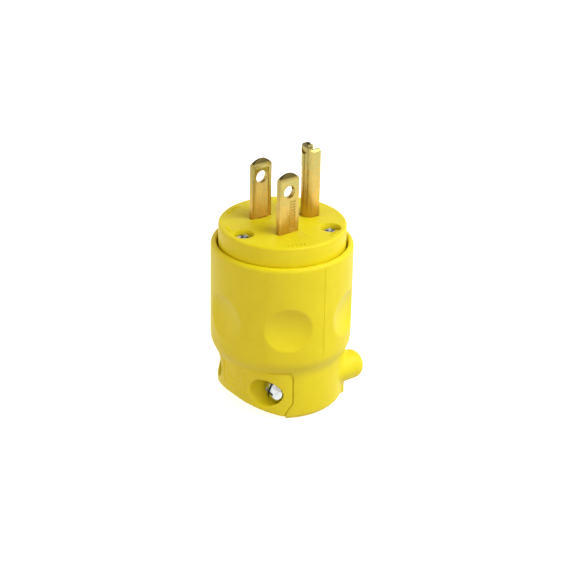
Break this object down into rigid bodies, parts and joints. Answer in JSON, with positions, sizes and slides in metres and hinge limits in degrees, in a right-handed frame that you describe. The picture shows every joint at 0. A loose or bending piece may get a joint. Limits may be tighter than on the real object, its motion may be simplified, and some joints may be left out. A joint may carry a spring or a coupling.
{
  "type": "rewireable grounding cord plug",
  "caption": "Yellow vinyl rewireable mains cord plug with two flat brass blades, a U-section ground pin, a screwed face cover and a two-screw cord clamp.",
  "frame": {"origin": "on the body's axis, in the plane of the cord end on which the plug stands", "axes": "+Z along the body towards the blades, +X from the neutral blade to the line blade, +Y from the blades' line to the ground pin"},
  "size_m": [0.04, 0.04, 0.0752],
  "materials": {
    "moulded_vinyl": "moulded, satin",
    "blade_brass": "rolled and stamped, unplated",
    "zinc_plated_steel": "bright zinc plate",
    "brass_screw": "turned",
    "nickel_screw": "nickel plate",
    "green_screw": "green dyed plate",
    "insulator_nylon": "moulded nylon",
    "fibre_washer": "vulcanised fibre"
  },
  "bodies": {
    "shell": {"body_shell": "moulded_vinyl", "clamp_nut_1": "zinc_plated_steel", "clamp_nut_2": "zinc_plated_steel"},
    "interior": {"face_cover": "moulded_vinyl", "terminal_carrier": "insulator_nylon", "line_blade": "blade_brass", "neutral_blade": "blade_brass", "ground_pin": "blade_brass"},
    "clamp_jaw": {"cord_clamp_jaw": "moulded_vinyl"},
    "clamp_screw_right": {"clamp_screw_1": "zinc_plated_steel"},
    "clamp_screw_left": {"clamp_screw_2": "zinc_plated_steel"},
    "line_plate": {"line_pressure_plate": "zinc_plated_steel"},
    "line_screw": {"line_terminal_screw": "brass_screw"},
    "neutral_plate": {"neutral_pressure_plate": "zinc_plated_steel"},
    "neutral_screw": {"neutral_terminal_screw": "nickel_screw"},
    "ground_plate": {"ground_pressure_plate": "zinc_plated_steel"},
    "ground_screw": {"ground_terminal_screw": "green_screw"},
    "face_screw_1": {"face_screw_1": "zinc_plated_steel", "screw_washer_1": "fibre_washer"},
    "face_screw_2": {"face_screw_2": "zinc_plated_steel", "screw_washer_2": "fibre_washer"},
    "face_screw_3": {"face_screw_3": "zinc_plated_steel", "screw_washer_3": "fibre_washer"}
  },
  "joints": [
    {"name": "interior_lift", "type": "slide", "parent": "shell", "child": "interior", "axis": [0, 0, 1], "range_m": [0, 0.036]},
    {"name": "clamp_jaw_slide", "type": "slide", "parent": "shell", "child": "clamp_jaw", "axis": [0, 1, 0], "range_m": [0, 0.0065]},
    {"name": "clamp_screw_right_turn", "type": "hinge", "parent": "clamp_jaw", "child": "clamp_screw_right", "pos_m": [0.0112, -0.009, 0.0083], "axis": [0, 1, 0], "range_deg": [0, 2948]},
    {"name": "clamp_screw_left_turn", "type": "hinge", "parent": "clamp_jaw", "child": "clamp_screw_left", "pos_m": [-0.0112, -0.009, 0.0083], "axis": [0, 1, 0], "range_deg": [0, 2948]},
    {"name": "line_plate_slide", "type": "slide", "parent": "interior", "child": "line_plate", "axis": [1, 0, 0], "range_m": [0, 0.0025]},
    {"name": "line_terminal_screw_turn", "type": "hinge", "parent": "line_plate", "child": "line_screw", "pos_m": [0.00635, -0.0031, 0.0365], "axis": [1, 0, 0], "range_deg": [0, 1134]},
    {"name": "neutral_plate_slide", "type": "slide", "parent": "interior", "child": "neutral_plate", "axis": [-1, 0, 0], "range_m": [0, 0.0025]},
    {"name": "neutral_terminal_screw_turn", "type": "hinge", "parent": "neutral_plate", "child": "neutral_screw", "pos_m": [-0.00635, -0.0031, 0.0365], "axis": [-1, 0, 0], "range_deg": [0, 1134]},
    {"name": "ground_plate_slide", "type": "slide", "parent": "interior", "child": "ground_plate", "axis": [0, 1, 0], "range_m": [0, 0.0025]},
    {"name": "ground_terminal_screw_turn", "type": "hinge", "parent": "ground_plate", "child": "ground_screw", "pos_m": [0, 0.00668, 0.0365], "axis": [0, 1, 0], "range_deg": [0, 1134]},
    {"name": "face_screw_1_turn", "type": "hinge", "parent": "interior", "child": "face_screw_1", "pos_m": [0.00072, -0.01368, 0.05], "axis": [0, 0, 1], "range_deg": [0, 4030]},
    {"name": "face_screw_2_turn", "type": "hinge", "parent": "interior", "child": "face_screw_2", "pos_m": [0.01072, 0.00853, 0.05], "axis": [0, 0, 1], "range_deg": [0, 4030]},
    {"name": "face_screw_3_turn", "type": "hinge", "parent": "interior", "child": "face_screw_3", "pos_m": [-0.01072, 0.00853, 0.05], "axis": [0, 0, 1], "range_deg": [0, 4030]}
  ],
  "couplings": [
    {"joint": "clamp_screw_right_turn", "follows": "clamp_jaw_slide", "rad_per_m": 7913.3},
    {"joint": "clamp_screw_left_turn", "follows": "clamp_jaw_slide", "rad_per_m": 7913.3},
    {"joint": "line_terminal_screw_turn", "follows": "line_plate_slide", "rad_per_m": 7913.3},
    {"joint": "neutral_terminal_screw_turn", "follows": "neutral_plate_slide", "rad_per_m": 7913.3},
    {"joint": "ground_terminal_screw_turn", "follows": "ground_plate_slide", "rad_per_m": 7913.3}
  ]
}
